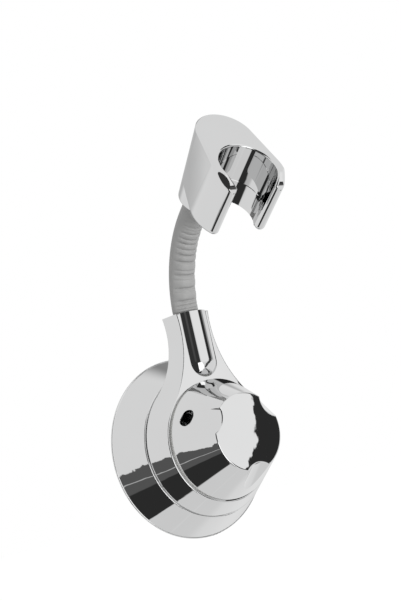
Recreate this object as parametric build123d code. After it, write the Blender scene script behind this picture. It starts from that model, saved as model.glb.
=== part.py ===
# Hand shower holder: conical suction base, arm clamped by a hand knob, gooseneck and C-shaped cradle.
# Frame: origin at the middle of the wall face, +Z up along the neck, -Y out of the wall, +X to the right.
import os
from math import acos, atan2, cos, degrees, hypot, radians, sin, sqrt

from build123d import *

# Driving dimensions, in millimetres and degrees

# One straight cone runs over the base cover, the arm's ring and the knob
base_radius = 40.0          # at the wall
front_radius = 16.5         # at the knob's front face
cone_height = 45.5          # from the wall to the knob's front face
cover_depth = 15.2          # base cover, from the wall to its front
arm_gap = 0.3               # base cover to arm
arm_thickness = 10.0
edge_round = 0.6            # small rounds along the seams
rim_height = 1.0            # straight rim of the base cover, at the wall

# Base cover
cover_wall = 2.6            # measured across the axis
cover_front_wall = 3.0
hub_radius = 13.0           # the arm turns on this
hub_proud = 0.6             # hub stands out of the arm's front
press_rib_width = 2.5       # rib that presses on the cup
washer_recess = 0.8

# Suction cup and its stud
cup_edge_clearance = 1.2    # cup's edge to the cover's wall
cup_lip = 1.2
cup_skirt_width = 3.4       # from the land to the cup's edge
cup_land_height = 3.4
cup_land_width = 5.0        # the rib presses on its middle
cup_web_height = 5.2
cup_hub_radius = 14.0
cup_hub_room = 0.45         # cup's hub to the cover, when pulled up
stud_flange_radius = 10.5
stud_flange_height = 2.0
stud_flange_seat = 2.6      # cup's thickness behind the flange
stud_guide_radius = 6.0
stud_guide_flats = 9.2      # across the two flats
stud_guide_top = 21.0
thread_radius = 4.0
thread_pitch = 1.25
knob_turns = 3.0            # from loose to tight
moulding_gap = 0.3          # cup to stud
guide_clearance = 0.1       # stud in the hub, each side

# Washers
washer_clearance = 0.15     # washers on the hub
washer_width = 3.6          # rear washer
washer_thickness = 1.0      # front washer
washer_inset = 0.7          # front washer's edge, inside the knob's back edge

# Arm
arm_running_clearance = 0.08
neck_half_width = 8.15      # narrowest, at the front
neck_draft = 1.25           # wider by this at the back
neck_waist_height = 50.0    # height of the narrowest place
neck_height = 56.3
boss_wall = 2.5             # socket boss, around the hose
boss_foot = 34.3            # centre of its ball end
rear_boss_foot = 37.5
arm_pocket_depth = 6.5
arm_pocket_wall = 3.5
arm_land = 4.0              # flat ring round the hub's bore

# Knob
bush_radius = 8.0
bush_inset = 1.0            # bush behind the knob's back
bush_clearance = 0.05       # thread and pocket
knob_hub_wall = 3.5
knob_ring_wall = 3.9        # round the pocket, at its floor
knob_pocket_depth = 11.5
knob_front_wall = 3.0
face_round = 0.9            # round the knob's front face
scallop_count = 3
scallop_turn = 33.8         # first scallop, from +X towards +Z
scallop_depth = 3.2         # at the front face
scallop_radius = 10.2
scallop_run_out = 12.5      # length along the axis
grub_radius = 2.0
grub_length = 8.0
grub_socket = 2.0           # across the flats of its hexagon
grub_height = 32.7          # from the wall
grub_turn = 151.0           # from +X towards +Z
grub_hole_clearance = 0.25
grub_mouth_length = 7.4     # oval hole over the screw
grub_mouth_tilt = -16.0     # its long axis, from round the knob towards the front
grub_mouth_floor = 0.8      # from the knob's pocket to that hole
clip_radius = 5.4
clip_thickness = 0.9
clip_groove_depth = 0.7
clip_gap = 0.3              # bush to clip
clip_grip = 1.3             # mouth narrower than the groove by this
clip_room = 0.5             # round the clip, inside the knob
stud_end = 1.2              # stud beyond the clip
stud_end_room = 1.35        # stud to the knob's front wall, when pulled up

# Gooseneck
sleeve_radius = 5.8
core_radius = 3.4
core_clearance = 0.3        # core in the sleeve
bend_radius = 46.0
bend_lean = 60.3            # from upright, outwards
bend_turn = 4.15            # the bend's plane, turned towards -X
bend_start = 2.0            # below the neck's top
straight_run = 8.5          # from the bend's end to the cradle's collar
sleeve_insert = 8.0         # inside each socket
core_insert = 4.5           # inside each ferrule
socket_clearance = 0.2
ferrule_radius = 5.0
ferrule_length = 10.0
ferrule_clearance = 0.05
pin_radius = 1.25
pin_clearance = 0.02
pin_inset = 2.6             # from the ferrule's blind end

# Cradle
seat_bore = 11.8            # straight lower part of the handset's seat
seat_bore_height = 10.9
seat_step = 0.25
seat_flare = 0.35           # from the step to the mouth
cradle_height = 28.2
cradle_wall = 4.3           # round the straight part, at the front
prong_turn = 54.3           # prong ends, from straight ahead
prong_top_round = 9.0       # prong tops, curved down towards their ends
prong_top_start = 2.4       # where that begins, ahead of the seat's axis
prong_bevel_turn = 48.0     # bevel on each prong's outer edge: faces this far outwards from straight ahead
prong_bevel_tilt = 49.0     # and this far down from the top
prong_bevel_start = 1.6     # where it begins, ahead of the seat's axis
seat_web = 1.6              # between the seat and the hose's socket
seat_relief = 0.4           # cut into the collar, under and round the seat's foot
cradle_rear_radius = 13.2   # at the top
collar_wall = 3.2           # round the hose, at the collar's foot
collar_drop = 8.0           # collar's foot below the seat's foot
collar_round = 1.2
collar_inset = 0.03         # collar inside the body's rear, where they overlap
foot_slope = 3.0            # the prongs' feet rise forwards

cone_slope = (base_radius - front_radius) / cone_height


def cone_radius(out):
    """Radius of the outer cone at a distance from the wall."""
    return base_radius - cone_slope * out


# Places along the base's axis, from the wall outwards
arm_back = cover_depth + arm_gap
arm_front = arm_back + arm_thickness
hub_front = arm_front + hub_proud
hose_out = arm_back + arm_thickness / 2
knob_back = arm_front + washer_thickness
bush_back = knob_back + bush_inset
stud_travel = knob_turns * thread_pitch
stud_top = cone_height - knob_front_wall - stud_end_room - stud_travel
clip_back = stud_top - stud_end - clip_thickness
bush_front = clip_back - clip_gap
cup_hub_height = cover_depth - cover_front_wall - cup_hub_room - stud_travel

# Radii that follow from what fits together
cup_radius = base_radius - cover_wall - cup_edge_clearance
press_rib_radius = cup_radius - cup_skirt_width - cup_land_width / 2
washer_radius = hub_radius + washer_clearance + washer_width
front_washer_radius = cone_radius(knob_back) - washer_inset
knob_ring_inner = cone_radius(knob_back + knob_pocket_depth) - knob_ring_wall
scallop_floor_radius = front_radius - scallop_depth
grub_hole_radius = grub_radius + grub_hole_clearance
sleeve_bore = core_radius + core_clearance
socket_radius = sleeve_radius + socket_clearance
boss_radius = socket_radius + boss_wall
collar_radius = socket_radius + collar_wall
seat_mouth = seat_bore + seat_step + seat_flare
axis_distance = seat_bore + seat_web + socket_radius
cradle_front_radius = seat_bore + cradle_wall
prong_end_radius = 0.53 * cradle_wall
foot_round = 0.9 * prong_end_radius
mouth_round = (cradle_front_radius - seat_mouth) / 4


def turned(points):
    """Solid of revolution about the base's axis, from (radius, distance from the wall) points."""
    profile = make_face(Polyline(*[(r, 0, out) for r, out in points], close=True))
    return revolve(profile, Axis.Z)


def on_base(solid):
    """Turn a solid made with its axis along Z so that the axis points out of the wall."""
    return Plane.XZ.location * solid


def disc(radius, low, high):
    """Cylinder about the base's axis between two distances from the wall."""
    return Pos(0, 0, low) * Cylinder(radius, high - low, align=(Align.CENTER, Align.CENTER, Align.MIN))


def ring(outer, inner, low, high):
    """Flat ring about the base's axis."""
    return disc(outer, low, high) - disc(inner, low, high)


def edges_at(solid, height, tolerance=0.01):
    """Edges that lie wholly at one height along Z."""
    found = []
    for edge in solid.edges():
        box = edge.bounding_box()
        if abs(box.min.Z - height) < tolerance and abs(box.max.Z - height) < tolerance:
            found.append(edge)
    return found


def outer_edge(solid, height):
    """Longest of the edges at one height."""
    return max(edges_at(solid, height), key=lambda e: e.length)


# Base: cover, cup and stud

def guide_section(clearance):
    """Round section with two flats, for the stud's guide and for its hole."""
    side = 2 * (stud_guide_radius + clearance)
    return Circle(stud_guide_radius + clearance) & Rectangle(side, stud_guide_flats + 2 * clearance)


def make_base_cover():
    inside = cover_depth - cover_front_wall
    rib_inner = press_rib_radius - press_rib_width / 2
    rib_outer = press_rib_radius + press_rib_width / 2
    recess_radius = washer_radius + washer_clearance
    cover = turned([
        (0, inside), (rib_inner, inside), (rib_inner, cup_land_height), (rib_outer, cup_land_height),
        (rib_outer, inside), (cone_radius(inside) - cover_wall, inside), (base_radius - cover_wall, 0),
        (base_radius, 0), (base_radius, rim_height), (cone_radius(rim_height), rim_height),
        (cone_radius(cover_depth), cover_depth), (recess_radius, cover_depth),
        (recess_radius, cover_depth - washer_recess), (hub_radius, cover_depth - washer_recess),
        (hub_radius, hub_front), (0, hub_front),
    ])
    cover = fillet([outer_edge(cover, 0), outer_edge(cover, rim_height)], 0.4 * rim_height)
    cover = fillet(outer_edge(cover, cover_depth), edge_round)
    cover -= Pos(0, 0, inside) * extrude(guide_section(guide_clearance), hub_front - inside)
    return on_base(cover)


def make_suction_cup():
    land_outer = press_rib_radius + cup_land_width / 2
    land_inner = press_rib_radius - cup_land_width / 2
    cup = turned([
        (0, 0), (cup_radius, 0), (cup_radius, cup_lip), (land_outer, cup_land_height),
        (land_inner, cup_land_height), (cup_hub_radius, cup_web_height), (cup_hub_radius, cup_hub_height),
        (0, cup_hub_height),
    ])
    flange_front = stud_flange_seat + stud_flange_height
    cup -= disc(stud_flange_radius + moulding_gap, stud_flange_seat, flange_front)
    cup -= Pos(0, 0, flange_front) * extrude(guide_section(moulding_gap), cup_hub_height - flange_front)
    return on_base(cup)


def make_cup_stud():
    flange_front = stud_flange_seat + stud_flange_height
    stud = disc(stud_flange_radius, stud_flange_seat, flange_front)
    stud += Pos(0, 0, flange_front) * extrude(guide_section(0), stud_guide_top - flange_front)
    stud += disc(thread_radius, stud_guide_top, stud_top)
    stud = chamfer(outer_edge(stud, stud_top), clip_groove_depth)
    stud -= ring(clip_radius, thread_radius - clip_groove_depth, clip_back, clip_back + clip_thickness)
    return on_base(stud)


def make_stud_clip():
    groove_radius = thread_radius - clip_groove_depth
    clip = ring(clip_radius, groove_radius + bush_clearance, clip_back, clip_back + clip_thickness)
    mouth = Box(clip_radius, 2 * groove_radius - clip_grip, clip_thickness,
                align=(Align.MIN, Align.CENTER, Align.MIN))
    return on_base(clip - Pos(0, 0, clip_back) * mouth)


def make_rear_washer():
    seat = cover_depth - washer_recess
    inner = hub_radius + washer_clearance
    return on_base(ring(washer_radius, inner, seat, arm_back))


def make_front_washer():
    inner = hub_radius + washer_clearance
    return on_base(ring(front_washer_radius, inner, arm_front, knob_back))


# Arm

def keyhole(ring_radius, half_width):
    """Ring and neck in one outline: the neck's sides are arcs that run into the ring without a corner."""
    reach = neck_waist_height ** 2 + half_width ** 2 - ring_radius ** 2
    flare = reach / (2 * (ring_radius - half_width))
    centre_x = half_width + flare
    touch = ring_radius / hypot(centre_x, neck_waist_height)
    touch_x, touch_z = centre_x * touch, neck_waist_height * touch
    top_x = centre_x - sqrt(flare ** 2 - (neck_height - neck_waist_height) ** 2)
    right = RadiusArc((touch_x, touch_z), (top_x, neck_height), flare)
    left = RadiusArc((-top_x, neck_height), (-touch_x, touch_z), flare)
    top = Line((top_x, neck_height), (-top_x, neck_height))
    around = ThreePointArc((-touch_x, touch_z), (0, -ring_radius), (touch_x, touch_z))
    return make_face([right, top, left, around])


def make_arm():
    back = Pos(0, 0, arm_back) * keyhole(cone_radius(arm_back), neck_half_width + neck_draft)
    front = Pos(0, 0, arm_front) * keyhole(cone_radius(arm_front), neck_half_width)
    arm = loft([back, front], ruled=True)
    arm = fillet(edges_at(arm, arm_front) + edges_at(arm, arm_back), edge_round)
    socket_floor = neck_height - sleeve_insert - ferrule_length
    upright = Pos(0, 0, hose_out) * Rot(-90, 0, 0)
    boss = upright * Pos(0, 0, boss_foot) * Cylinder(
        boss_radius, neck_height - boss_foot, align=(Align.CENTER, Align.CENTER, Align.MIN))
    boss += Pos(0, boss_foot, hose_out) * Sphere(boss_radius)
    behind = Pos(0, 0, arm_back) * Box(
        4 * boss_radius, 2 * rear_boss_foot, 2 * boss_radius, align=(Align.CENTER, Align.CENTER, Align.MAX))
    arm += boss - behind
    pocket_floor = arm_back + arm_pocket_depth
    pocket_inner = hub_radius + arm_land
    arm -= turned([
        (pocket_inner, arm_back), (cone_radius(arm_back) - arm_pocket_wall, arm_back),
        (cone_radius(pocket_floor) - arm_pocket_wall, pocket_floor), (pocket_inner, pocket_floor),
    ])
    arm -= disc(hub_radius + arm_running_clearance, arm_back, arm_front)
    sleeve_hole = upright * Pos(0, 0, neck_height - sleeve_insert) * Cylinder(
        socket_radius, sleeve_insert, align=(Align.CENTER, Align.CENTER, Align.MIN))
    ferrule_hole = upright * Pos(0, 0, socket_floor) * Cylinder(
        ferrule_radius + ferrule_clearance, ferrule_length, align=(Align.CENTER, Align.CENTER, Align.MIN))
    pin_hole = Pos(0, socket_floor + pin_inset, hose_out - boss_radius) * Cylinder(
        pin_radius + pin_clearance, boss_radius + ferrule_radius,
        align=(Align.CENTER, Align.CENTER, Align.MIN))
    return on_base(arm - sleeve_hole - ferrule_hole - pin_hole)


# Knob

def scallop():
    """Finger groove that starts in the front face and runs out on the cone."""
    run_out_height = cone_height - scallop_run_out
    rise = cone_radius(run_out_height) - scallop_floor_radius
    tilt = degrees(atan2(rise, scallop_run_out))
    tool = Cylinder(scallop_radius, 4 * scallop_run_out)
    floor = Pos(scallop_floor_radius, 0, cone_height) * Rot(0, -tilt, 0)
    return floor * Pos(scallop_radius, 0, 0) * tool


def grub_place(out):
    """Place on the grub screw's axis, at a distance from the base's axis."""
    return Pos(0, 0, grub_height) * Rot(0, 0, grub_turn) * Rot(0, 90, 0) * Pos(0, 0, out)


def along_grub(radius, low, high):
    """Cylinder on the grub screw's axis, between two distances from the base's axis."""
    rod = Cylinder(radius, high - low, align=(Align.CENTER, Align.CENTER, Align.MIN))
    return grub_place(low) * rod


def grub_mouth(low, high):
    """Oval hole over the grub screw, longer round the knob than along its axis."""
    outline = Rot(0, 0, 90 + grub_mouth_tilt) * SlotOverall(grub_mouth_length, 2 * grub_hole_radius)
    return grub_place(low) * extrude(outline, high - low)


def make_knob():
    knob = turned([
        (0, knob_back), (cone_radius(knob_back), knob_back), (front_radius, cone_height), (0, cone_height),
    ])
    for index in range(scallop_count):
        knob -= Rot(0, 0, scallop_turn + index * 360 / scallop_count) * scallop()
    knob = fillet(edges_at(knob, cone_height), face_round)
    knob = fillet(outer_edge(knob, knob_back), edge_round)
    hub_outer = bush_radius + knob_hub_wall
    pocket = ring(knob_ring_inner, hub_outer, knob_back, knob_back + knob_pocket_depth)
    grub_tip = bush_radius + bush_clearance
    pocket -= along_grub(grub_radius + knob_hub_wall / 2, grub_tip, knob_ring_inner + knob_hub_wall)
    knob -= pocket
    knob -= disc(hub_outer + bush_clearance, knob_back, bush_back)
    knob -= disc(bush_radius + bush_clearance, bush_back, bush_front)
    knob -= disc(clip_radius + clip_room, bush_front, cone_height - knob_front_wall)
    mouth_floor = knob_ring_inner + grub_mouth_floor
    knob -= along_grub(grub_radius + bush_clearance, 0, mouth_floor)
    knob -= grub_mouth(mouth_floor, base_radius)
    return on_base(knob)


def make_knob_bush():
    return on_base(ring(bush_radius, thread_radius + bush_clearance, bush_back, bush_front))


def make_grub_screw():
    tip = bush_radius + bush_clearance
    screw = along_grub(grub_radius, tip, tip + grub_length)
    hexagon = extrude(RegularPolygon(grub_socket / 2, 6, major_radius=False), grub_length / 2)
    return on_base(screw - grub_place(tip + grub_length / 2) * hexagon)


# Gooseneck and cradle: made in the bend's own upright plane, then turned about the hose's socket

bend_place = Pos(0, -hose_out, neck_height - bend_start) * Rot(0, 0, -bend_turn)
bend_end = (Pos(0, -bend_radius * (1 - cos(radians(bend_lean))), bend_radius * sin(radians(bend_lean)))
            * Rot(bend_lean, 0, 0))
collar_place = bend_place * bend_end * Pos(0, 0, straight_run)
seat_place = collar_place * Pos(0, -axis_distance, collar_drop)


def hose(radius, below, above):
    """Round rod along the hose's line, from a length below the neck's top to a length into the collar."""
    lower = Pos(0, 0, bend_start - below) * Cylinder(
        radius, below - bend_start, align=(Align.CENTER, Align.CENTER, Align.MIN))
    axis = Axis((0, -bend_radius, 0), (1, 0, 0))
    middle = revolve(Circle(radius), axis, bend_lean)
    upper = bend_end * Cylinder(radius, straight_run + above, align=(Align.CENTER, Align.CENTER, Align.MIN))
    return lower + middle + upper


def make_sleeve():
    tube = hose(sleeve_radius, sleeve_insert, sleeve_insert) - hose(sleeve_bore, sleeve_insert, sleeve_insert)
    return bend_place * tube


def make_core():
    reach = sleeve_insert + core_insert
    return bend_place * hose(core_radius, reach, reach)


def ferrule():
    """End fitting of the core: blind end at z = 0, core's hole at the other end, cross hole from +Y."""
    body = Cylinder(ferrule_radius, ferrule_length, align=(Align.CENTER, Align.CENTER, Align.MIN))
    core_hole = Pos(0, 0, ferrule_length - core_insert) * Cylinder(
        core_radius + ferrule_clearance, core_insert, align=(Align.CENTER, Align.CENTER, Align.MIN))
    cross = Pos(0, 0, pin_inset) * Rot(90, 0, 0) * Cylinder(pin_radius + pin_clearance, 4 * ferrule_radius)
    return body - core_hole - cross


def cross_pin(outside):
    """Pin across a ferrule, from its far side out to a distance on the +Y side."""
    length = outside + ferrule_radius
    return Pos(0, outside - length / 2, pin_inset) * Rot(90, 0, 0) * Cylinder(pin_radius, length)


lower_ferrule_place = Pos(0, -hose_out, neck_height - sleeve_insert - ferrule_length)
upper_ferrule_place = collar_place * Pos(0, 0, sleeve_insert + ferrule_length) * Rot(0, 180, 0)


def ahead(radius, turn):
    """Point at a radius from the seat's axis, turned from straight ahead."""
    return (radius * sin(radians(turn)), -radius * cos(radians(turn)))


def mirrored(point):
    """The same point on the other side."""
    return (-point[0], point[1])


def cradle_outline(rear_radius):
    """C-shaped outline: open seat in front with rounded prong ends, hose's circle behind, straight sides."""
    lean = (cradle_front_radius - rear_radius) / axis_distance
    side = sqrt(1 - lean ** 2)
    front_end = (cradle_front_radius * side, cradle_front_radius * lean)
    rear_end = (rear_radius * side, axis_distance + rear_radius * lean)
    end_distance = cradle_front_radius - prong_end_radius
    end_share = (end_distance ** 2 + seat_bore ** 2 - prong_end_radius ** 2) / (2 * end_distance * seat_bore)
    inner = ahead(seat_bore, prong_turn - degrees(acos(end_share)))
    outer = ahead(cradle_front_radius, prong_turn)
    centre = ahead(end_distance, prong_turn)
    tip_step = ahead(prong_end_radius, prong_turn - 90)
    tip = (centre[0] + tip_step[0], centre[1] + tip_step[1])
    flank = ahead(cradle_front_radius, (prong_turn + 90) / 2)
    return make_face([
        ThreePointArc(inner, tip, outer),
        ThreePointArc(outer, flank, front_end),
        Line(front_end, rear_end),
        ThreePointArc(rear_end, (0, axis_distance + rear_radius), mirrored(rear_end)),
        Line(mirrored(rear_end), mirrored(front_end)),
        ThreePointArc(mirrored(front_end), mirrored(flank), mirrored(outer)),
        ThreePointArc(mirrored(outer), mirrored(tip), mirrored(inner)),
        ThreePointArc(mirrored(inner), (0, seat_bore), inner),
    ])


def rear_radius_at(height):
    """The rear tapers evenly from the collar's foot to the top."""
    share = (height + collar_drop) / (cradle_height + collar_drop)
    return collar_radius + share * (cradle_rear_radius - collar_radius)


def prong_top_corner():
    """What is taken off the prongs' tops: everything outside a round that starts level with the top."""
    reach = 4 * cradle_front_radius
    corner = Box(reach, cradle_front_radius, 2 * prong_top_round, align=(Align.CENTER, Align.MAX, Align.MIN))
    corner -= Rot(0, 90, 0) * Cylinder(prong_top_round, 2 * reach)
    return Pos(0, -prong_top_start, cradle_height - prong_top_round) * corner


def prong_bevel(side):
    """What the bevel on one prong's outer edge takes off. The side is 1 or -1."""
    across = sqrt(cradle_front_radius ** 2 - prong_bevel_start ** 2)
    level = sin(radians(prong_bevel_tilt))
    outwards = (
        side * level * sin(radians(prong_bevel_turn)),
        -level * cos(radians(prong_bevel_turn)),
        cos(radians(prong_bevel_tilt)),
    )
    face = Plane(origin=(side * across, -prong_bevel_start, cradle_height), z_dir=outwards)
    reach = 2 * cradle_front_radius
    return face.location * Box(reach, reach, reach, align=(Align.CENTER, Align.CENTER, Align.MIN))


def rim_edges(body):
    """Edges round the flat top and the curved prong tops together, without the lines where these meet."""
    tolerance = 0.05
    crown = []
    for face in body.faces():
        box = face.bounding_box()
        is_flat_top = box.min.Z > cradle_height - tolerance
        is_prong_top = box.max.Z > cradle_height - tolerance and box.max.Y < tolerance - prong_top_start
        if is_flat_top or is_prong_top:
            crown += face.edges()
    return [edge for edge in crown if sum(edge.is_same(other) for other in crown) == 1]


def make_cradle():
    foot = cradle_outline(rear_radius_at(0))
    top = Pos(0, 0, cradle_height) * cradle_outline(cradle_rear_radius)
    body = loft([foot, top], ruled=True)
    body -= Pos(0, 0, seat_bore_height) * Cone(
        seat_bore + seat_step, seat_mouth, cradle_height - seat_bore_height,
        align=(Align.CENTER, Align.CENTER, Align.MIN))
    body -= prong_top_corner()
    body = fillet(rim_edges(body), mouth_round)
    body -= prong_bevel(1) + prong_bevel(-1)
    reach = 4 * cradle_front_radius
    slope_place = Pos(0, seat_bore + seat_web / 2, 0) * Rot(-foot_slope, 0, 0)
    body -= slope_place * Box(reach, reach, reach, align=(Align.CENTER, Align.CENTER, Align.MAX))
    # The sloped face's two longest edges are the crease behind it and the seat's bore: both stay sharp
    sloped_foot = body.faces().sort_by(Axis.Z)[1]
    body = fillet(sloped_foot.edges().sort_by(SortBy.LENGTH)[:-2], foot_round)
    collar_top = 2 * foot_round
    collar = Pos(0, axis_distance, -collar_drop) * Cone(
        collar_radius - collar_inset, rear_radius_at(collar_top) - collar_inset, collar_drop + collar_top,
        align=(Align.CENTER, Align.CENTER, Align.MIN))
    collar = fillet(edges_at(collar, -collar_drop), collar_round)
    body += collar - Pos(0, 0, -seat_relief) * Cylinder(
        seat_bore + seat_relief, 2 * collar_top, align=(Align.CENTER, Align.CENTER, Align.MIN))
    sleeve_hole = Cylinder(socket_radius, sleeve_insert, align=(Align.CENTER, Align.CENTER, Align.MIN))
    ferrule_hole = Pos(0, 0, sleeve_insert) * Cylinder(
        ferrule_radius + ferrule_clearance, ferrule_length, align=(Align.CENTER, Align.CENTER, Align.MIN))
    pin_height = sleeve_insert + ferrule_length - pin_inset
    pin_hole = Pos(0, -ferrule_radius, pin_height) * Rot(-90, 0, 0) * Cylinder(
        pin_radius + pin_clearance, 3 * cradle_rear_radius, align=(Align.CENTER, Align.CENTER, Align.MIN))
    body -= Pos(0, axis_distance, -collar_drop) * (sleeve_hole + ferrule_hole + pin_hole)
    return seat_place * body


upper_pin_reach = rear_radius_at(sleeve_insert + ferrule_length - pin_inset - collar_drop) - edge_round

pieces = {
    "base_cover": make_base_cover(),
    "suction_cup": make_suction_cup(),
    "cup_stud": make_cup_stud(),
    "stud_clip": make_stud_clip(),
    "rear_washer": make_rear_washer(),
    "arm": make_arm(),
    "front_washer": make_front_washer(),
    "knob": make_knob(),
    "knob_bush": make_knob_bush(),
    "grub_screw": make_grub_screw(),
    "lower_ferrule": lower_ferrule_place * ferrule(),
    "lower_pin": lower_ferrule_place * cross_pin(boss_radius - edge_round),
    "gooseneck_core": make_core(),
    "gooseneck_sleeve": make_sleeve(),
    "upper_ferrule": upper_ferrule_place * ferrule(),
    "upper_pin": upper_ferrule_place * cross_pin(upper_pin_reach),
    "cradle": make_cradle(),
}

os.makedirs("parts", exist_ok=True)
for name, solid in pieces.items():
    export_step(solid, f"parts/{name}.step")
    box = solid.bounding_box()
    print(f"{name}: {solid.volume:.1f} mm3, {box.min} to {box.max}")
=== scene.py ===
# %% [markdown]
# # A chrome hand shower holder
# The holder clings to a wall by a suction base. A cone-shaped cover hides the cup, an arm is clamped between
# the cover and a hand knob, a grey gooseneck rises from the arm, and a C-shaped cradle at its end takes the
# handset. The imported model already has every rigid piece at its real size. This lesson adds what it lacks:
# the wrinkled sleeve and the core inside it, a cup cut into slices, the finishes, and a studio whose pale
# walls and dark panels show in the chrome.

# %% Load the imported model and keep its box
from math import atan2, cos, exp, pi, radians, sin

import bpy
from mathutils import Matrix, Quaternion, Vector


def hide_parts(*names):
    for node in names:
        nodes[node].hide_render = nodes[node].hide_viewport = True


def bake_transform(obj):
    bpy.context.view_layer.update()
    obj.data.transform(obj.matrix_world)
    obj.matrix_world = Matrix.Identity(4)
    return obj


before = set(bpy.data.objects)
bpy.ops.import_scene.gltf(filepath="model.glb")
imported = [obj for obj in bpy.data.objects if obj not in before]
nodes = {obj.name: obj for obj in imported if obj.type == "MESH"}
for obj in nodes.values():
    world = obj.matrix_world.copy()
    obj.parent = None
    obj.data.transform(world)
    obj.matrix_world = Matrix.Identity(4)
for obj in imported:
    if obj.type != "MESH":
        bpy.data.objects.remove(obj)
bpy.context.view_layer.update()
mm = 0.001

# %% [markdown]
# ## The camera
# The picture was taken from the left of the holder, a little below it, with the camera tipped to one side.
# A camera can be aimed by hand or by a constraint. Here it is turned by three plain angles, azimuth,
# elevation and roll, because each of them can be read off and changed by itself.

# %% Camera
view_azimuth = radians(-36.172)
view_elevation = radians(-8.52)
view_roll = radians(-13.044)
view_place = Vector((-281.49, -418.26, -12.02)) * mm
picture_height = 601        # pixels, the long side
focal_length = 1120.4       # in the same pixels
sensor_side = 36.0
nearest_seen = 10 * mm

bpy.ops.object.camera_add(location=view_place)
camera = bpy.context.object
towards_camera = Vector((
    sin(view_azimuth) * cos(view_elevation),
    -cos(view_azimuth) * cos(view_elevation),
    sin(view_elevation),
))
camera.rotation_mode = "QUATERNION"
level_turn = (-towards_camera).to_track_quat("-Z", "Y")
camera.rotation_quaternion = level_turn @ Quaternion((0, 0, 1), view_roll)
camera.data.sensor_width = sensor_side
camera.data.lens = focal_length * sensor_side / picture_height
camera.data.clip_start = nearest_seen
bpy.context.scene.camera = camera
print("lens", round(camera.data.lens, 1), "mm")

# %% [markdown]
# ## The gooseneck's line
# The gooseneck leaves the arm upright, bends outwards along one arc and runs straight into the cradle's
# collar. Every ring of the sleeve needs a place on this line. It could be a curve object, but a line and an
# arc are simple enough to work out, and then a ring can be asked for at any distance along it.

# %% The line and its places
hose_out = 20.5 * mm        # from the wall
neck_top = 56.3 * mm
bend_start = 2.0 * mm       # below the neck's top
bend_radius = 46.0 * mm
bend_lean = radians(60.3)
bend_turn = radians(-4.15)  # the bend's plane, about the upright
straight_run = 8.5 * mm     # from the bend to the cradle's collar
bend_length = bend_radius * bend_lean
neck_mouth = bend_start     # the two mouths, as distances along the line from the bend's start
collar_mouth = bend_length + straight_run

bend_centre = Vector((0, -bend_radius, 0))
bend_foot = Matrix.Translation((0, -hose_out, neck_top - bend_start))
bend_place = bend_foot @ Matrix.Rotation(bend_turn, 4, "Z")


def lean_at(along):
    """How far the line leans outwards, at a distance along it from the bend's start."""
    return min(max(along, 0.0), bend_length) / bend_radius


def line_point(along):
    """Point of the line in the bend's own upright plane."""
    lean = lean_at(along)
    point = bend_centre + bend_radius * Vector((0, cos(lean), sin(lean)))
    beyond = along - lean * bend_radius
    return point + beyond * Vector((0, -sin(lean), cos(lean)))


print("hose from neck to collar", round((collar_mouth - neck_mouth) / mm, 1), "mm")

# %% [markdown]
# ## Growing a tube ring by ring
# A hose can be a curve with a round bevel, or a circle spun about the bend's centre. Here a circle is
# extruded one ring at a time, moved along the line and turned about the bend, the way a modeller grows a
# tube by hand. The rings can then lie as close together as the wrinkles need.

# %% Selecting one piece
def select_nothing():
    """Deselect every object, so that the next operator acts on its own piece alone."""
    if bpy.context.object and bpy.context.object.mode != "OBJECT":
        bpy.ops.object.mode_set(mode="OBJECT")
    bpy.ops.object.select_all(action="DESELECT")


def select_only(piece):
    """Select one piece and make it the active one."""
    select_nothing()
    piece.select_set(True)
    bpy.context.view_layer.objects.active = piece


# %% Tube helpers
def grow_tube(name, radius, stations, points):
    """Open tube along the line, with a ring at each station."""
    select_nothing()
    bpy.ops.mesh.primitive_circle_add(vertices=points, radius=radius, fill_type="NOTHING")
    tube = bpy.context.object
    tube.name = name
    tube.data.name = name
    lean = lean_at(stations[0])
    tube.matrix_world = Matrix.Translation(line_point(stations[0])) @ Matrix.Rotation(lean, 4, "X")
    bpy.ops.object.transform_apply(location=True, rotation=True, scale=True)
    bpy.ops.object.mode_set(mode="EDIT")
    bpy.ops.mesh.select_all(action="SELECT")
    for before, after in zip(stations, stations[1:]):
        turn = lean_at(after) - lean_at(before)
        middle = line_point(after)
        step = middle - line_point(before)
        bpy.ops.mesh.extrude_edges_move(TRANSFORM_OT_translate={"value": step})
        if turn:
            bpy.ops.transform.rotate(value=-turn, orient_axis="X", center_override=middle)
    bpy.ops.object.mode_set(mode="OBJECT")
    return tube


def thicken(tube, wall):
    """Give an open tube a wall, measured inwards."""
    solidify = tube.modifiers.new("wall", "SOLIDIFY")
    solidify.thickness = wall
    solidify.offset = -1.0
    select_only(tube)
    bpy.ops.object.modifier_apply(modifier=solidify.name)


def face_outwards(piece):
    """Recalculate the normals of a closed or open shell and smooth its shading."""
    select_only(piece)
    bpy.ops.object.mode_set(mode="EDIT")
    bpy.ops.mesh.select_all(action="SELECT")
    bpy.ops.mesh.normals_make_consistent(inside=False)
    bpy.ops.object.mode_set(mode="OBJECT")
    bpy.ops.object.shade_smooth()


def put_on_bend(piece):
    """Move a piece from the bend's own plane to its place on the holder."""
    piece.data.transform(bend_place)
    piece.data.update()
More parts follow.
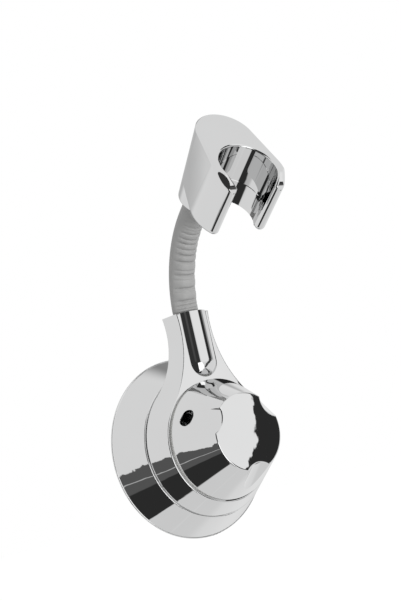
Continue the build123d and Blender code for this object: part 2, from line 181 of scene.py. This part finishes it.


# %% [markdown]
# ## The sleeve
# The sleeve is a soft grey vinyl tube. Where the gooseneck is bent, the sleeve is stretched on the outside
# and gathers into wrinkles on the inside, with narrow creases between soft bulges. The creases are uneven:
# they crowd at the neck, stand further apart along the bend, grow shallow towards the cradle, and fade out
# on the flanks. They could be sculpted with a brush. Here each crease has its own place, depth, width and
# slant, and every point of the skin is drawn in by the creases near it.
# The sleeve crosses two bending places, so it is made in two halves that meet in a crease.

# %% Creases
sleeve_radius = 5.8 * mm
sleeve_wall = 2.1 * mm
socket_depth = 8.0 * mm
creases = [                 # distance along the line, depth, half width and slant, in millimetres
    (2.8, 0.80, 0.55, 0.2), (4.2, 0.50, 0.40, 0.2), (5.9, 0.90, 0.50, 0.3), (8.0, 1.15, 0.60, 0.2),
    (12.3, 0.42, 0.45, 0.2), (13.9, 1.15, 0.60, 0.1), (18.0, 0.40, 0.45, 0.0), (20.1, 1.20, 0.65, -0.1),
    (22.5, 0.35, 0.45, -0.2), (26.7, 0.95, 0.52, -0.4), (30.2, 0.88, 0.50, -0.5), (33.1, 0.80, 0.50, -0.5),
    (36.1, 0.88, 0.52, -0.4), (38.7, 0.68, 0.45, -0.4), (41.9, 0.55, 0.50, -0.3), (44.2, 0.20, 0.40, -0.3),
    (46.0, 0.40, 0.55, -0.2), (49.2, 0.25, 0.55, 0.0), (51.6, 0.16, 0.50, 0.0),
]
pinch_depth = 0.85          # millimetres, all round, where the sleeve enters the neck and the collar
pinch_width = 0.80
shoulder_share = 0.40       # part of a crease's depth that rounds the bulges beside it
shoulder_width = 3.0        # in half widths
crease_begin = radians(98)  # turn from the outside of the bend where creases begin
crease_full = radians(140)  # and where they have their full depth
print(len(creases), "creases on the inside of the bend")


# %% Drawing the skin in
def ease(share):
    """Smooth step from 0 to 1."""
    share = min(max(share, 0.0), 1.0)
    return share * share * (3 - 2 * share)


def place_on_line(point):
    """Distance along the line, turn from the outside of the bend and the arm from the line, of a point."""
    lean = min(max(atan2(point.z, point.y + bend_radius), 0.0), bend_lean)
    outside = Vector((0, cos(lean), sin(lean)))
    ahead = Vector((0, -sin(lean), cos(lean)))
    from_bend = point - bend_centre - bend_radius * outside
    beyond = from_bend.dot(ahead)
    arm = from_bend - beyond * ahead
    return lean * bend_radius + beyond, atan2(arm.x, arm.dot(outside)), arm


def crease_depth(along, turn):
    """How far the skin is drawn in."""
    depth = 0.0
    for place, deep, half_width, slant in creases:
        away = (along / mm - place - slant * sin(turn)) / half_width
        narrow = exp(-away ** 2)
        wide = exp(-(away / shoulder_width) ** 2)
        depth += deep * ((1 - shoulder_share) * narrow + shoulder_share * wide)
    depth *= ease((abs(turn) - crease_begin) / (crease_full - crease_begin))
    for mouth in (neck_mouth, collar_mouth):
        depth += pinch_depth * exp(-((along - mouth) / mm / pinch_width) ** 2)
    return depth * mm


def wrinkle(tube):
    """Draw the skin of the sleeve in at its creases, and leave its bore alone."""
    for vertex in tube.data.vertices:
        along, turn, arm = place_on_line(vertex.co)
        if arm.length > sleeve_radius - sleeve_wall / 2:
            vertex.co -= crease_depth(along, turn) * arm.normalized()


# %% The two halves of the sleeve
halfway = 30.2 * mm         # the crease where the halves meet
ring_step = 0.2 * mm
past_mouth = 0.5 * mm       # the close rings go on this far into the neck and the collar
sleeve_points = 72


def ring_places(first, last, step):
    """Evenly spaced places along the line."""
    count = max(1, round((last - first) / step))
    return [first + (last - first) * index / count for index in range(count + 1)]


lower_places = [neck_mouth - socket_depth] + ring_places(neck_mouth - past_mouth, halfway, ring_step)
upper_places = ring_places(halfway, collar_mouth + past_mouth, ring_step) + [collar_mouth + socket_depth]
sleeve_lower = grow_tube("sleeve_lower", sleeve_radius, lower_places, sleeve_points)
sleeve_upper = grow_tube("sleeve_upper", sleeve_radius, upper_places, sleeve_points)
for half in (sleeve_lower, sleeve_upper):
    reach = [place_on_line(vertex.co)[2].length / mm for vertex in half.data.vertices]
    print(half.name, "radius", round(min(reach), 3), "to", round(max(reach), 3), "mm")
    face_outwards(half)
    thicken(half, sleeve_wall)
    wrinkle(half)
    put_on_bend(half)
    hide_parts("gooseneck_sleeve")
    print(half.name, len(half.data.polygons), "faces")

# %% [markdown]
# ## The core
# Inside the sleeve runs the rod that holds the bend. It can't be seen, but it has to bend with the sleeve, or
# it would push through the side of it. So it gets the same two halves, as a plain round rod with closed ends.

# %% The two halves of the core
core_radius = 3.4 * mm
core_insert = 12.5 * mm
core_step = 1.0 * mm
core_points = 32
core_edge = radians(40)     # a sharper edge than this stays sharp


def close_ends(tube):
    """Fill the two open ends of a tube."""
    select_only(tube)
    bpy.ops.object.mode_set(mode="EDIT")
    bpy.ops.mesh.select_all(action="SELECT")
    bpy.ops.mesh.fill_holes(sides=0)
    bpy.ops.object.mode_set(mode="OBJECT")


core_lower_places = [neck_mouth - core_insert] + ring_places(neck_mouth, halfway, core_step)
core_upper_places = ring_places(halfway, collar_mouth, core_step) + [collar_mouth + core_insert]
core_lower = grow_tube("core_lower", core_radius, core_lower_places, core_points)
core_upper = grow_tube("core_upper", core_radius, core_upper_places, core_points)
for half in (core_lower, core_upper):
    close_ends(half)
    face_outwards(half)
    bpy.ops.object.shade_smooth_by_angle(angle=core_edge)
    put_on_bend(half)
    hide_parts("gooseneck_core")
    print(half.name, len(half.data.polygons), "faces")

# %% [markdown]
# ## The halves in place
# The gooseneck bends at two places, between the arm and its middle and between the middle and the cradle.
# Each half of the sleeve and of the core has its place written into its own mesh, and the halves meet in the
# middle.


def on_holder(along):
    """Point of the line on the holder itself."""
    return bend_place @ line_point(along)


for half in (sleeve_lower, core_lower):
    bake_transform(half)
for half in (sleeve_upper, core_upper):
    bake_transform(half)
print("the halves meet", round(halfway / mm, 1), "mm along the line")

# %% [markdown]
# ## The suction cup
# The cup is soft vinyl. Its rim stays on the wall while the stud pulls its middle out, so it stretches along
# every radius at once. The cup is cut like a cake into slices, each with its own middle line. Its shape is
# already right, so the slices are cut from a copy of the imported mesh. A few more cuts across each slice
# give it points to bend at.

# %% Slices of the cup
cup_slices = 8
cup_middle = 14.0 * mm      # radius of the first cut across each slice
cup_rim = 26.5 * mm         # radius of the last one
cup_bends = 6
cup_edge = radians(30)      # a sharper edge than this stays sharp
same_point = 0.002 * mm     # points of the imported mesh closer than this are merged


def cut_slice(index):
    """One slice of the cup and the direction of its middle line."""
    mesh = nodes["suction_cup"].data.copy()
    mesh.transform(nodes["suction_cup"].matrix_world)
    piece = bpy.data.objects.new(f"cup_slice_{index + 1}", mesh)
    bpy.context.collection.objects.link(piece)
    select_only(piece)
    bpy.ops.mesh.customdata_custom_splitnormals_clear()
    bpy.ops.object.mode_set(mode="EDIT")
    bpy.ops.mesh.select_all(action="SELECT")
    bpy.ops.mesh.remove_doubles(threshold=same_point)
    turn = 2 * pi * index / cup_slices
    for side in (-1, 1):
        edge = turn + side * pi / cup_slices
        bpy.ops.mesh.select_all(action="SELECT")
        bpy.ops.mesh.bisect(plane_co=(0, 0, 0), plane_no=(-side * sin(edge), 0, side * cos(edge)),
                            use_fill=True, clear_outer=True)
    out = Vector((cos(turn), 0, sin(turn)))
    for step in range(cup_bends + 1):
        cut_radius = cup_middle + (cup_rim - cup_middle) * step / cup_bends
        bpy.ops.mesh.select_all(action="SELECT")
        bpy.ops.mesh.bisect(plane_co=out * cut_radius, plane_no=out)
    bpy.ops.object.mode_set(mode="OBJECT")
    face_outwards(piece)
    bpy.ops.object.shade_smooth_by_angle(angle=cup_edge)
    return piece, out


slices = []
for index in range(cup_slices):
    piece, out = cut_slice(index)
    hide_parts("suction_cup")
    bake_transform(piece)
    slices.append(piece)
print(len(slices), "slices of about", len(slices[0].data.polygons), "faces")

# %% [markdown]
# ## Finishes
# Every finish is a Principled shader. What the finishes share is a node group that gives a soft uneven value.
# Each finish places it at its own scale, as broad moulding waves under the plate or as fine grain on the
# dull skins. The group reads Object coordinates, because every piece sits at the origin with its place in
# its mesh, so a pattern stays on its piece when the piece moves.

# %% Node helpers
def add_node(tree, kind, **settings):
    """New node with some of its settings."""
    node = tree.nodes.new(kind)
    for name, value in settings.items():
        setattr(node, name, value)
    return node


def feed(tree, value, socket):
    """Put a number, a colour or another node's output into a socket."""
    if isinstance(value, bpy.types.NodeSocket):
        tree.links.new(value, socket)
    else:
        socket.default_value = value


def calculate(tree, operation, *values):
    """Math node on numbers and outputs."""
    node = add_node(tree, "ShaderNodeMath", operation=operation)
    for value, socket in zip(values, node.inputs):
        feed(tree, value, socket)
    return node.outputs[0]


def new_group(name, inputs, outputs):
    """Empty shader node group with named number sockets. Returns it with its two ends."""
    group = bpy.data.node_groups.new(name, "ShaderNodeTree")
    for label, value in inputs.items():
        socket = group.interface.new_socket(label, in_out="INPUT", socket_type="NodeSocketFloat")
        socket.default_value = value
    for label in outputs:
        group.interface.new_socket(label, in_out="OUTPUT", socket_type="NodeSocketFloat")
    start = group.nodes.new("NodeGroupInput")
    end = group.nodes.new("NodeGroupOutput")
    return group, start, end


# %% Shared grain
grain, grain_in, grain_out = new_group("grain", {"Scale": 900.0, "Detail": 3.0}, ["Value"])
grain_place = add_node(grain, "ShaderNodeTexCoord")
grain_noise = add_node(grain, "ShaderNodeTexNoise")
grain.links.new(grain_place.outputs["Object"], grain_noise.inputs["Vector"])
grain.links.new(grain_in.outputs["Scale"], grain_noise.inputs["Scale"])
grain.links.new(grain_in.outputs["Detail"], grain_noise.inputs["Detail"])
grain.links.new(grain_noise.outputs["Fac"], grain_out.inputs["Value"])


def place_grain(tree, scale, detail):
    """The shared grain, placed in a material with its own scale."""
    node = add_node(tree, "ShaderNodeGroup", node_tree=grain)
    node.inputs["Scale"].default_value = scale
    node.inputs["Detail"].default_value = detail
    return node.outputs["Value"]


# %% Material helpers
def new_material(name):
    """Material with a Principled shader. Returns it, its tree and the shader."""
    material = bpy.data.materials.new(name)
    material.use_nodes = True
    return material, material.node_tree, material.node_tree.nodes["Principled BSDF"]


def add_colour(tree, shader, value, dark, light):
    """Base colour between two others."""
    node = add_node(tree, "ShaderNodeMix", data_type="RGBA")
    feed(tree, value, node.inputs["Factor"])
    node.inputs["A"].default_value = (*dark, 1)
    node.inputs["B"].default_value = (*light, 1)
    feed(tree, node.outputs["Result"], shader.inputs["Base Color"])


def add_roughness(tree, shader, value, low, high):
    """Roughness between two limits."""
    node = add_node(tree, "ShaderNodeMapRange")
    feed(tree, value, node.inputs["Value"])
    node.inputs["To Min"].default_value = low
    node.inputs["To Max"].default_value = high
    feed(tree, node.outputs["Result"], shader.inputs["Roughness"])


def add_bump(tree, shader, height, strength, distance):
    """Bump on a shader's normal."""
    bump = add_node(tree, "ShaderNodeBump")
    bump.inputs["Strength"].default_value = strength
    bump.inputs["Distance"].default_value = distance
    feed(tree, height, bump.inputs["Height"])
    tree.links.new(bump.outputs["Normal"], shader.inputs["Normal"])


# %% Chrome plate on moulded plastic
def make_chrome():
    """Bright plate: faint haze, and moulding waves that only show where a reflected edge runs."""
    material, tree, shader = new_material("chrome_plate")
    shader.inputs["Metallic"].default_value = 1.0
    haze = place_grain(tree, scale=60.0, detail=4.0)
    add_colour(tree, shader, haze, dark=(0.622, 0.624, 0.625), light=(0.644, 0.646, 0.647))
    smears = place_grain(tree, scale=140.0, detail=5.0)
    add_roughness(tree, shader, smears, low=0.0, high=0.016)
    broad_waves = place_grain(tree, scale=60.0, detail=1.0)
    fine_share = 0.2
    fine_waves = calculate(tree, "MULTIPLY", place_grain(tree, scale=330.0, detail=1.0), fine_share)
    waves = calculate(tree, "ADD", broad_waves, fine_waves)
    add_bump(tree, shader, waves, strength=1.0, distance=0.012 * mm)
    return material


# %% Grey vinyl of the sleeve
def make_vinyl():
    """Soft matt grey: cloudy colour, uneven gloss and a fine skin."""
    material, tree, shader = new_material("grey_vinyl")
    clouds = place_grain(tree, scale=160.0, detail=5.0)
    add_colour(tree, shader, clouds, dark=(0.315, 0.315, 0.312), light=(0.365, 0.365, 0.362))
    add_roughness(tree, shader, place_grain(tree, scale=420.0, detail=3.0), low=0.36, high=0.5)
    shader.inputs["Specular IOR Level"].default_value = 0.35
    add_bump(tree, shader, place_grain(tree, scale=1400.0, detail=4.0), strength=0.25, distance=0.05 * mm)
    return material


# %% Hidden and small pieces
def make_dull(name, dark, light, metallic, rough, scale):
    """Plain moulded or machined finish: two close colours, uneven gloss and a fine bump."""
    material, tree, shader = new_material(name)
    shader.inputs["Metallic"].default_value = metallic
    add_colour(tree, shader, place_grain(tree, scale, detail=4.0), dark, light)
    add_roughness(tree, shader, place_grain(tree, 2 * scale, detail=3.0), *rough)
    add_bump(tree, shader, place_grain(tree, 4 * scale, detail=3.0), strength=0.15, distance=0.04 * mm)
    return material


cup_rubber = make_dull("cup_rubber", dark=(0.69, 0.70, 0.71), light=(0.74, 0.75, 0.76),
                       metallic=0.0, rough=(0.22, 0.36), scale=220.0)
washer_nylon = make_dull("washer_nylon", dark=(0.62, 0.62, 0.60), light=(0.70, 0.70, 0.68),
                         metallic=0.0, rough=(0.38, 0.5), scale=260.0)
bright_steel = make_dull("bright_steel", dark=(0.50, 0.50, 0.51), light=(0.58, 0.58, 0.59),
                         metallic=1.0, rough=(0.2, 0.34), scale=300.0)
black_steel = make_dull("black_steel", dark=(0.012, 0.012, 0.013), light=(0.03, 0.03, 0.031),
                        metallic=0.6, rough=(0.25, 0.42), scale=400.0)
turned_brass = make_dull("turned_brass", dark=(0.66, 0.47, 0.19), light=(0.78, 0.58, 0.27),
                         metallic=1.0, rough=(0.2, 0.36), scale=300.0)
soft_aluminium = make_dull("soft_aluminium", dark=(0.60, 0.61, 0.62), light=(0.70, 0.71, 0.72),
                           metallic=1.0, rough=(0.28, 0.42), scale=300.0)

# %% Put the finishes on
chrome = make_chrome()
vinyl = make_vinyl()
finish_of = {
    "base_cover": chrome, "arm": chrome, "knob": chrome, "cradle": chrome,
    "suction_cup": cup_rubber, "rear_washer": washer_nylon, "front_washer": washer_nylon,
    "cup_stud": bright_steel, "stud_clip": bright_steel, "lower_pin": bright_steel, "upper_pin": bright_steel,
    "grub_screw": black_steel, "knob_bush": turned_brass,
    "lower_ferrule": turned_brass, "upper_ferrule": turned_brass,
    "gooseneck_core": soft_aluminium, "gooseneck_sleeve": vinyl,
}


def dress(piece, material):
    """One material on the whole piece."""
    piece.data.materials.clear()
    piece.data.materials.append(material)


for name, material in finish_of.items():
    dress(nodes[name], material)
for half in (sleeve_lower, sleeve_upper):
    dress(half, vinyl)
for half in (core_lower, core_upper):
    dress(half, soft_aluminium)
for piece in slices:
    dress(piece, cup_rubber)
print(len(finish_of), "nodes dressed")

# %% [markdown]
# ## The studio
# Chrome has hardly any colour of its own: it shows the room. The picture's room is pale nearly all round,
# with a few dark panels, and each dark stripe on the holder is one of them. They could be boards around the
# object, but boards stand close and their image slides across it. Here they are drawn on the world by
# direction, as if far away, and only mirror rays see them. The background itself stays white.

# %% Directions of the world
world = bpy.data.worlds.new("studio")
bpy.context.scene.world = world
world.use_nodes = True
sky = world.node_tree
sky.nodes.clear()
direction = add_node(sky, "ShaderNodeSeparateXYZ")
sky_place = add_node(sky, "ShaderNodeTexCoord")
sky.links.new(sky_place.outputs["Generated"], direction.inputs[0])
outwards = calculate(sky, "MULTIPLY", direction.outputs["Y"], -1.0)
azimuth = calculate(sky, "DEGREES", calculate(sky, "ARCTAN2", direction.outputs["X"], outwards))
elevation = calculate(sky, "DEGREES", calculate(sky, "ARCSINE", direction.outputs["Z"]))

# %% Panel mask
panel, panel_in, panel_out = new_group(
    "panel",
    {"Azimuth": 0.0, "Elevation": 0.0, "Left": 0.0, "Right": 0.0, "Low": 0.0, "High": 0.0,
     "Left Lean": 0.0, "Right Lean": 0.0, "Soft": 1.0},
    ["Mask"],
)


def past_edge(value, edge, soft):
    """Soft step, 0 below an edge and 1 above it."""
    node = add_node(panel, "ShaderNodeMapRange", interpolation_type="SMOOTHSTEP")
    feed(panel, value, node.inputs["Value"])
    feed(panel, calculate(panel, "SUBTRACT", edge, soft), node.inputs["From Min"])
    feed(panel, calculate(panel, "ADD", edge, soft), node.inputs["From Max"])
    return node.outputs["Result"]


ends = panel_in.outputs
left_edge = calculate(panel, "MULTIPLY_ADD", ends["Elevation"], ends["Left Lean"], ends["Left"])
right_edge = calculate(panel, "MULTIPLY_ADD", ends["Elevation"], ends["Right Lean"], ends["Right"])
from_left = past_edge(ends["Azimuth"], left_edge, ends["Soft"])
from_right = calculate(panel, "SUBTRACT", 1.0, past_edge(ends["Azimuth"], right_edge, ends["Soft"]))
from_low = past_edge(ends["Elevation"], ends["Low"], ends["Soft"])
from_high = calculate(panel, "SUBTRACT", 1.0, past_edge(ends["Elevation"], ends["High"], ends["Soft"]))
across = calculate(panel, "MULTIPLY", from_left, from_right)
upright = calculate(panel, "MULTIPLY", from_low, from_high)
panel.links.new(calculate(panel, "MULTIPLY", across, upright), panel_out.inputs["Mask"])

# %% Rough edges
def uneven(value, along, scale, swing, detail):
    """A direction with a rough swing added, so that an edge which uses it isn't straight."""
    noise = add_node(sky, "ShaderNodeTexNoise", noise_dimensions="1D")
    feed(sky, along, noise.inputs["W"])
    noise.inputs["Scale"].default_value = scale
    noise.inputs["Detail"].default_value = detail
    sway = calculate(sky, "MULTIPLY_ADD", noise.outputs["Fac"], swing, -swing / 2)
    return calculate(sky, "ADD", value, sway)


jagged_elevation = uneven(elevation, azimuth, scale=0.7, swing=22.0, detail=4.0)
rippled_elevation = uneven(elevation, azimuth, scale=0.6, swing=3.0, detail=2.0)
wavy_elevation = uneven(elevation, azimuth, scale=0.8, swing=1.2, detail=2.0)
wavy_azimuth = uneven(azimuth, elevation, scale=1.1, swing=0.45, detail=1.5)
edge_directions = {
    "plain": (azimuth, elevation),
    "jagged": (azimuth, jagged_elevation),
    "rippled": (azimuth, rippled_elevation),
    "wavy": (wavy_azimuth, wavy_elevation),
}
print(len(edge_directions), "kinds of edge")

# %% Panels, in the order in which they cover each other
panels = [                  # left, right, low, high, left lean, right lean, soft edge, brightness, edge
    (-180, 180, -90, -58, 0, 0, 6, 0.90, "plain"),                 # floor
    (138, 230, -24, 28, 0, 0, 13, 0.55, "plain"),                  # dim corner behind, on the left
    (-230, -170, -24, 28, 0, 0, 13, 0.55, "plain"),                # its other half
    (126, 172, 28, 61.5, 0, 0, 9.0, 0.33, "plain"),                # corner behind the neck
    (100, 120.9, 26, 62, 0, 0.3, 1.5, 1.0, "plain"),               # pale wall beside it
    (-118, -99, -50, -26, 0, 0, 4, 0.65, "plain"),                 # grey end of the band on the left
    (-99, -20, -48, -9, 0, 0, 0.6, 0.125, "jagged"),               # grey band on the left
    (-99, -20, -24.0, -23.0, 0, 0, 0.3, 0.60, "rippled"),          # pale line in it
    (-107, -14, -60.5, -33.5, 0, 0, 0.8, 0.035, "wavy"),           # black band under it
    (-160, -141, -64.5, -33, -0.72, -0.667, 1, 0.035, "plain"),    # its far end
    (-60, -14, -68, -50, 0, 0, 2.0, 0.05, "plain"),                # its lower end
    (-69, -14, -50, 12, 0, 0, 1.5, 0.045, "plain"),                # dark part of the room on the left
    (-60, -16, 9, 40, 0, 0, 1.5, 0.045, "plain"),                  # its upper part
    (-46, -35, 5, 11, 0, 0, 2.5, 0.10, "plain"),                   # paler strip in it
    (-9, 44, -4, 45, 0, 0, 2.5, 1.16, "plain"),                    # bright wall ahead
    (-31, -9, -45, -4, 0, -0.45, 1.2, 2.2, "plain"),               # white card on the floor
    (37, 58, -13, -1.5, 1.3, 1.2, 1.2, 0.05, "plain"),             # foot of the dark stripe on the right
    (24, 50, -36, -12, 0.5, 0.85, 2.0, 0.10, "plain"),             # its shadow on the floor
    (36.62, 62, -2, 0.9, 0.85, 0, 0.04, 0.035, "wavy"),            # dark stripe on the right
    (37.35, 62, 0.6, 2.7, 0.06, 0, 0.04, 0.035, "wavy"),           # it bulges in the middle
    (38.42, 62, 2.4, 4.6, -0.3, 0, 0.04, 0.035, "wavy"),           # and draws back at the top
    (42, 67, 4.2, 34, 0, 0, 1.5, 0.035, "plain"),                  # its upper part
    (64, 76, 2, 20, 0, 0, 4.0, 0.40, "plain"),                     # grey beside it
    (127.6, 136, 14, 33, -1.12, -1.12, 1.5, 0.05, "plain"),        # dark slant further right
    (50, 100, -52, -40, 0, 0, 3.0, 0.08, "plain"),                 # dark edge of the floor on the right
]
print(len(panels), "panels in the studio")

# %% Draw the panels over each other
light = 1.0                 # the pale room, before the panels
for left, right, low, high, left_lean, right_lean, soft, brightness, edge in panels:
    mask = add_node(sky, "ShaderNodeGroup", node_tree=panel)
    settings = {"Left": left, "Right": right, "Low": low, "High": high,
                "Left Lean": left_lean, "Right Lean": right_lean, "Soft": soft}
    for label, value in settings.items():
        mask.inputs[label].default_value = value
    across_direction, upright_direction = edge_directions[edge]
    feed(sky, across_direction, mask.inputs["Azimuth"])
    feed(sky, upright_direction, mask.inputs["Elevation"])
    cover = add_node(sky, "ShaderNodeMix", data_type="FLOAT")
    feed(sky, mask.outputs["Mask"], cover.inputs["Factor"])
    feed(sky, light, cover.inputs["A"])
    cover.inputs["B"].default_value = brightness
    light = cover.outputs["Result"]

# %% World output
ambient_light = 0.66        # what dull surfaces get from all round
rays = add_node(sky, "ShaderNodeLightPath")
mirror_rays = calculate(sky, "MAXIMUM", rays.outputs["Is Glossy Ray"], rays.outputs["Is Transmission Ray"])
seen_light = add_node(sky, "ShaderNodeMix", data_type="FLOAT")
feed(sky, mirror_rays, seen_light.inputs["Factor"])
seen_light.inputs["A"].default_value = ambient_light
feed(sky, light, seen_light.inputs["B"])
world_light = calculate(sky, "MAXIMUM", seen_light.outputs["Result"], rays.outputs["Is Camera Ray"])
background = add_node(sky, "ShaderNodeBackground")
background.inputs["Color"].default_value = (1, 1, 1, 1)
feed(sky, world_light, background.inputs["Strength"])
sky_out = add_node(sky, "ShaderNodeOutputWorld")
sky.links.new(background.outputs["Background"], sky_out.inputs["Surface"])
print(len(sky.nodes), "nodes in the world")

# %% [markdown]
# ## Floor and lamp
# The holder hangs on a wall, so the floor lies below it and only catches a soft shadow. Its white comes from
# a little light of its own, which can be seen but doesn't light the holder. One soft lamp is for the dull
# sleeve. Mirror rays miss the floor and the lamp, because the studio's panels already show in the chrome.

# %% Floor
floor_height = -170 * mm
floor_side = 8.0
floor_grey = 0.80
floor_glow = 0.49
select_nothing()
bpy.ops.mesh.primitive_plane_add(size=floor_side, location=(0, 0, floor_height))
floor = bpy.context.object
floor.name = "floor"
floor_paint, floor_tree, floor_shader = new_material("floor_paint")
floor_shader.inputs["Base Color"].default_value = (floor_grey, floor_grey, floor_grey, 1)
floor_shader.inputs["Roughness"].default_value = 0.9
floor_shader.inputs["Specular IOR Level"].default_value = 0.0
floor_rays = add_node(floor_tree, "ShaderNodeLightPath").outputs
floor_seen = calculate(floor_tree, "MAXIMUM", floor_rays["Is Camera Ray"], floor_rays["Is Glossy Ray"])
floor_seen = calculate(floor_tree, "MAXIMUM", floor_seen, floor_rays["Is Transmission Ray"])
floor_shader.inputs["Emission Color"].default_value = (1, 1, 1, 1)
feed(floor_tree, calculate(floor_tree, "MULTIPLY", floor_seen, floor_glow),
     floor_shader.inputs["Emission Strength"])
dress(floor, floor_paint)
floor.visible_glossy = False
print("floor", round(floor_height / mm), "mm from the base's axis")

# %% Lamp
lamp_aim = on_holder(halfway)
lamp_step = Vector((-0.06, -0.66, 0.10))    # from the sleeve to the lamp, in metres
lamp_side = 0.14
lamp_power = 2.6
select_nothing()
bpy.ops.object.light_add(type="AREA", location=lamp_aim + lamp_step)
lamp = bpy.context.object
lamp.name = "key_lamp"
lamp.data.size = lamp_side
lamp.data.energy = lamp_power
lamp.rotation_mode = "QUATERNION"
lamp.rotation_quaternion = (-lamp_step).to_track_quat("-Z", "Y")
lamp.visible_glossy = False
print("lamp", round(lamp_step.length / mm), "mm from the sleeve")

# %% Picture settings
bpy.context.scene.view_settings.view_transform = "Standard"
